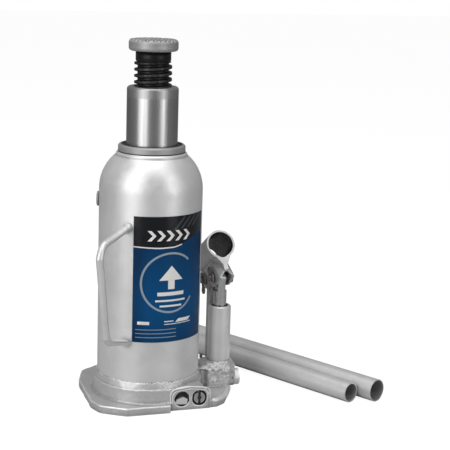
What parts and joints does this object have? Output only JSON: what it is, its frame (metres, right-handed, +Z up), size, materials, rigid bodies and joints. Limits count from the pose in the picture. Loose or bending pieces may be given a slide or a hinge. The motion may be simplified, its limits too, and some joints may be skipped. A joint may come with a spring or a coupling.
{
  "type": "bottle jack",
  "caption": "Hydraulic bottle jack with oil tank, chromed ram, screw-out saddle, side pump with tilting handle socket, release valve, carrying handle and loose handle tubes.",
  "frame": {"origin": "the ram's axis where it meets the floor that the base stands on", "axes": "+Z up along the ram, -Y towards the valve side, +X towards the pump"},
  "size_m": [0.2507, 0.2723, 0.2958],
  "materials": {
    "silver_paint_cast": "satin silver paint over rough cast iron",
    "silver_paint": "satin silver paint over smooth steel",
    "rubber": "black nitrile rubber",
    "steel": "ground steel",
    "copper": "soft copper gasket",
    "label": null,
    "strainer_brass": "woven brass strainer",
    "dark_steel": "dark phosphated steel",
    "aged_steel": "steel wire with a brown tint",
    "ram_chrome": "hard chrome, polished along the stroke",
    "black_oxide": "oiled black oxide",
    "piston_steel": "bright ground steel",
    "backup_plastic": "white PTFE",
    "filler_plastic": "grey moulded rubber plug"
  },
  "bodies": {
    "jack_base": {"base": "silver_paint_cast", "tank": "silver_paint", "tank_bottom_seal": "rubber", "tank_top_gasket": "rubber", "pressure_cylinder": "steel", "cylinder_gasket": "copper", "top_nut": "silver_paint", "ram_wiper": "rubber", "ram_oring": "rubber", "carry_handle": "silver_paint", "label": "label", "pump_cylinder": "silver_paint", "pump_gasket": "copper", "pump_wiper": "rubber", "suction_plug": "silver_paint", "oil_strainer": "strainer_brass", "delivery_spring": "steel", "delivery_retainer": "steel", "delivery_plug": "steel", "relief_spring": "steel", "relief_screw": "steel", "relief_cap": "silver_paint", "fulcrum_pin": "dark_steel", "fulcrum_cotter": "aged_steel"},
    "ram": {"ram": "ram_chrome", "ram_cup_seal": "rubber", "cup_washer": "steel", "cup_circlip": "dark_steel"},
    "screw_stop": {"screw_stop_ring": "dark_steel"},
    "extension_screw": {"extension_screw": "black_oxide", "saddle": "silver_paint"},
    "pump_piston": {"pump_piston": "piston_steel", "piston_oring": "rubber", "piston_backup_ring": "backup_plastic"},
    "handle_socket": {"handle_socket": "silver_paint", "piston_pin": "dark_steel", "link_pin": "dark_steel", "socket_cotters": "aged_steel"},
    "pump_links": {"link_plates": "silver_paint"},
    "release_ball": {"release_ball": "steel"},
    "release_valve": {"release_valve": "piston_steel", "release_oring": "rubber"},
    "suction_ball": {"suction_ball": "steel"},
    "delivery_ball": {"delivery_ball": "steel"},
    "relief_ball": {"relief_ball": "steel"},
    "filler_plug": {"filler_plug": "filler_plastic"},
    "outer_handle_tube": {"outer_handle_tube": "silver_paint"},
    "inner_handle_tube": {"inner_handle_tube": "silver_paint"}
  },
  "joints": [
    {"name": "ram_lift", "type": "slide", "parent": "jack_base", "child": "ram", "axis": [0, 0, 1], "range_m": [-0.043, 0.107]},
    {"name": "screw_advance", "type": "slide", "parent": "ram", "child": "screw_stop", "axis": [0, 0, 1], "range_m": [-0.028, 0.052]},
    {"name": "screw_turn", "type": "hinge", "parent": "screw_stop", "child": "extension_screw", "pos_m": [0, 0, 0.2865], "axis": [0, 0, 1], "range_deg": [-2016, 3744]},
    {"name": "piston_stroke", "type": "slide", "parent": "jack_base", "child": "pump_piston", "axis": [0, 0, 1], "range_m": [-0.01371, 0.00313]},
    {"name": "handle_pump", "type": "hinge", "parent": "pump_piston", "child": "handle_socket", "pos_m": [0.0615, 0, 0.09801], "axis": [1, 0, 0], "range_deg": [-8, 35]},
    {"name": "link_swing", "type": "hinge", "parent": "jack_base", "child": "pump_links", "pos_m": [0.0615, 0.022, 0.0165], "axis": [1, 0, 0], "range_deg": [-0.7701, 0.1761]},
    {"name": "release_travel", "type": "slide", "parent": "jack_base", "child": "release_ball", "axis": [0, -1, 0], "range_m": [0, 0.00225]},
    {"name": "release_turn", "type": "hinge", "parent": "release_ball", "child": "release_valve", "pos_m": [0.0324, -0.04, 0.0094], "axis": [0, -1, 0], "range_deg": [-0.01, 540.01]},
    {"name": "suction_ball_lift", "type": "slide", "parent": "jack_base", "child": "suction_ball", "axis": [0, 0, 1], "range_m": [0, 0.0008]},
    {"name": "delivery_ball_lift", "type": "slide", "parent": "jack_base", "child": "delivery_ball", "axis": [0, 0, 1], "range_m": [0, 0.0005], "deforming": ["delivery_spring"]},
    {"name": "relief_ball_lift", "type": "slide", "parent": "jack_base", "child": "relief_ball", "axis": [0, -1, 0], "range_m": [0, 0.0006], "deforming": ["relief_spring"]},
    {"name": "filler_plug_pull", "type": "slide", "parent": "jack_base", "child": "filler_plug", "axis": [-0.9511, 0.309, 0], "range_m": [0, 0.014]},
    {"name": "outer_tube_slide", "type": "slide", "parent": "jack_base", "child": "outer_handle_tube", "axis": [-0.4695, 0.8829, 0], "range_m": [-0.12, 0]},
    {"name": "inner_tube_slide", "type": "slide", "parent": "jack_base", "child": "inner_handle_tube", "axis": [-0.4695, 0.8829, 0], "range_m": [-0.12, 0]}
  ],
  "couplings": [
    {"joint": "screw_advance", "follows": "screw_turn", "m_per_rad": 0.00079577},
    {"joint": "piston_stroke", "follows": "handle_pump", "m_per_rad": -0.02244},
    {"joint": "link_swing", "follows": "handle_pump", "ratio": -0.022},
    {"joint": "release_turn", "follows": "release_travel", "rad_per_m": 4188.8}
  ]
}
